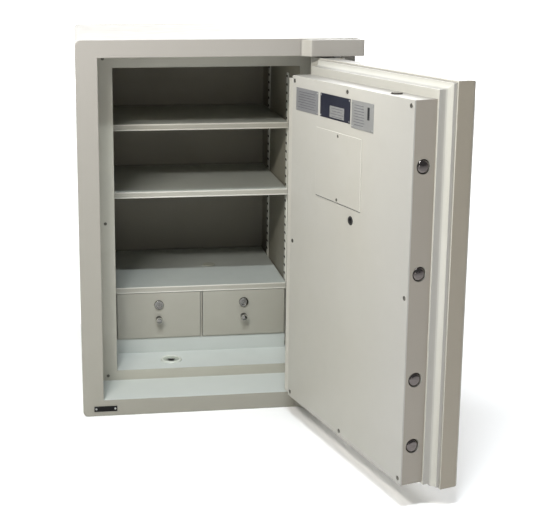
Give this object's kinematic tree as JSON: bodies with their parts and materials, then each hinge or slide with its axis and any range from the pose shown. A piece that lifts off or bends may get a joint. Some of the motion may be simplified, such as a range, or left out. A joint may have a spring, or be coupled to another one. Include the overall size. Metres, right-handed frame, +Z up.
{
  "type": "fire-resistant office safe",
  "caption": "Upright office safe with its thick stepped door standing open, shelves, small lockable drawers, round bolts, a lever and a keypad.",
  "frame": {"origin": "centre of the underside of the safe's body", "axes": "+Z up, the front and the door opening face -Y, the door's pins are towards +X"},
  "size_m": [0.7794, 1.323, 0.95],
  "materials": {
    "body_paint": "fine textured ivory enamel",
    "lip_paint": "smooth ivory enamel",
    "liner_paint": "smooth grey-olive enamel",
    "shelf_paint": "smooth pale grey enamel",
    "drawer_paint": "smooth pale grey enamel",
    "door_paint": "fine textured ivory enamel",
    "cover_paint": "smooth ivory enamel",
    "bolt_steel": "polished chrome",
    "work_steel": "zinc plated steel",
    "bush_brass": "turned brass",
    "handle_chrome": "satin chrome",
    "pull_chrome": "polished chrome",
    "trim_ivory": "moulded ivory plastic",
    "trim_black": "moulded black plastic",
    "keypad_plastic": "moulded dark plastic",
    "key_plastic": "moulded pale plastic",
    "lock_body": "moulded dark plastic",
    "label_plate": "printed aluminium plates",
    "plate_black": "black anodised",
    "fill": "cast insulating fill, hidden inside"
  },
  "bodies": {
    "cabinet": {"outer_shell": "body_paint", "rear_panel": "body_paint", "front_frame": "body_paint", "lip_frame": "lip_paint", "lip_screws": "work_steel", "insulation_core": "fill", "inner_liner": "liner_paint", "liner_floor": "liner_paint", "shelf_tracks": "liner_paint", "upper_shelf": "shelf_paint", "middle_shelf": "shelf_paint", "lower_shelf": "shelf_paint", "shelf_clips": "work_steel", "shelf_plug": "trim_ivory", "drawer_housing": "drawer_paint", "anchor_sleeve": "work_steel", "anchor_grommet": "trim_ivory", "nameplate": "plate_black", "top_hinge_block": "body_paint", "bottom_hinge_block": "body_paint", "hinge_bushes": "bush_brass", "bolt_sockets": "work_steel"},
    "door": {"door_slab": "door_paint", "door_insulation": "fill", "door_step": "door_paint", "bolt_case": "door_paint", "inner_cover": "cover_paint", "cover_screws": "work_steel", "access_panel": "cover_paint", "inner_labels": "label_plate", "cable_grommet": "trim_black", "hinge_pins": "work_steel", "bolt_guides": "bush_brass", "dead_bar": "door_paint", "lock_case": "lock_body", "keypad_housing": "keypad_plastic", "handle_rose": "handle_chrome"},
    "handle": {"handle_lever": "handle_chrome", "cam_spindle": "work_steel"},
    "latch_carriage": {"bolt_bar": "work_steel", "latch_bolts": "bolt_steel"},
    "upper_rod": {"top_bolt": "bolt_steel"},
    "lock_bolt": {"lock_bolt": "work_steel"},
    "override_key": {"key_cylinder": "handle_chrome"},
    "left_drawer": {"left_drawer": "drawer_paint"},
    "right_drawer": {"right_drawer": "drawer_paint"},
    "left_drawer_lock": {"left_drawer_lock": "pull_chrome"},
    "right_drawer_lock": {"right_drawer_lock": "pull_chrome"},
    "key_1": {"key_1": "key_plastic"},
    "key_2": {"key_2": "key_plastic"},
    "key_3": {"key_3": "key_plastic"},
    "key_4": {"key_4": "key_plastic"},
    "key_5": {"key_5": "key_plastic"},
    "key_6": {"key_6": "key_plastic"},
    "key_7": {"key_7": "key_plastic"},
    "key_8": {"key_8": "key_plastic"},
    "key_9": {"key_9": "key_plastic"},
    "key_star": {"key_star": "key_plastic"},
    "key_0": {"key_0": "key_plastic"},
    "key_hash": {"key_hash": "key_plastic"}
  },
  "joints": [
    {"name": "door_hinge", "type": "hinge", "parent": "cabinet", "child": "door", "pos_m": [0.284, -0.377, 0.475], "axis": [0, 0, 1], "range_deg": [-105, 70]},
    {"name": "handle_turn", "type": "hinge", "parent": "door", "child": "handle", "pos_m": [0.38395, -0.68047, 0.56], "axis": [-0.9659, -0.2588, 0], "range_deg": [0, 90]},
    {"name": "latch_bolt_slide", "type": "slide", "parent": "door", "child": "latch_carriage", "axis": [0.2588, -0.9659, 0], "range_m": [0, 0.045]},
    {"name": "top_bolt_slide", "type": "slide", "parent": "door", "child": "upper_rod", "axis": [0, 0, 1], "range_m": [0, 0.045]},
    {"name": "lock_bolt_slide", "type": "slide", "parent": "door", "child": "lock_bolt", "axis": [0, 0, -1], "range_m": [0, 0.012]},
    {"name": "override_key_turn", "type": "hinge", "parent": "door", "child": "override_key", "pos_m": [0.3768, -0.73105, 0.692], "axis": [-0.9659, -0.2588, 0], "range_deg": [0, 90]},
    {"name": "left_drawer_slide", "type": "slide", "parent": "cabinet", "child": "left_drawer", "axis": [0, -1, 0], "range_m": [0, 0.3]},
    {"name": "right_drawer_slide", "type": "slide", "parent": "cabinet", "child": "right_drawer", "axis": [0, -1, 0], "range_m": [0, 0.25]},
    {"name": "left_drawer_lock_turn", "type": "hinge", "parent": "left_drawer", "child": "left_drawer_lock", "pos_m": [-0.13575, -0.115, 0.20622], "axis": [0, -1, 0], "range_deg": [0, 90]},
    {"name": "right_drawer_lock_turn", "type": "hinge", "parent": "right_drawer", "child": "right_drawer_lock", "pos_m": [0.10075, -0.115, 0.20622], "axis": [0, -1, 0], "range_deg": [0, 90]},
    {"name": "key_1_press", "type": "slide", "parent": "door", "child": "key_1", "axis": [-0.9659, -0.2588, 0], "range_m": [0, 0.002], "stiffness_N_per_m": 400},
    {"name": "key_2_press", "type": "slide", "parent": "door", "child": "key_2", "axis": [-0.9659, -0.2588, 0], "range_m": [0, 0.002], "stiffness_N_per_m": 400},
    {"name": "key_3_press", "type": "slide", "parent": "door", "child": "key_3", "axis": [-0.9659, -0.2588, 0], "range_m": [0, 0.002], "stiffness_N_per_m": 400},
    {"name": "key_4_press", "type": "slide", "parent": "door", "child": "key_4", "axis": [-0.9659, -0.2588, 0], "range_m": [0, 0.002], "stiffness_N_per_m": 400},
    {"name": "key_5_press", "type": "slide", "parent": "door", "child": "key_5", "axis": [-0.9659, -0.2588, 0], "range_m": [0, 0.002], "stiffness_N_per_m": 400},
    {"name": "key_6_press", "type": "slide", "parent": "door", "child": "key_6", "axis": [-0.9659, -0.2588, 0], "range_m": [0, 0.002], "stiffness_N_per_m": 400},
    {"name": "key_7_press", "type": "slide", "parent": "door", "child": "key_7", "axis": [-0.9659, -0.2588, 0], "range_m": [0, 0.002], "stiffness_N_per_m": 400},
    {"name": "key_8_press", "type": "slide", "parent": "door", "child": "key_8", "axis": [-0.9659, -0.2588, 0], "range_m": [0, 0.002], "stiffness_N_per_m": 400},
    {"name": "key_9_press", "type": "slide", "parent": "door", "child": "key_9", "axis": [-0.9659, -0.2588, 0], "range_m": [0, 0.002], "stiffness_N_per_m": 400},
    {"name": "key_star_press", "type": "slide", "parent": "door", "child": "key_star", "axis": [-0.9659, -0.2588, 0], "range_m": [0, 0.002], "stiffness_N_per_m": 400},
    {"name": "key_0_press", "type": "slide", "parent": "door", "child": "key_0", "axis": [-0.9659, -0.2588, 0], "range_m": [0, 0.002], "stiffness_N_per_m": 400},
    {"name": "key_hash_press", "type": "slide", "parent": "door", "child": "key_hash", "axis": [-0.9659, -0.2588, 0], "range_m": [0, 0.002], "stiffness_N_per_m": 400}
  ],
  "couplings": [
    {"joint": "latch_bolt_slide", "follows": "handle_turn", "m_per_rad": 0.028648},
    {"joint": "top_bolt_slide", "follows": "handle_turn", "m_per_rad": 0.028648}
  ]
}
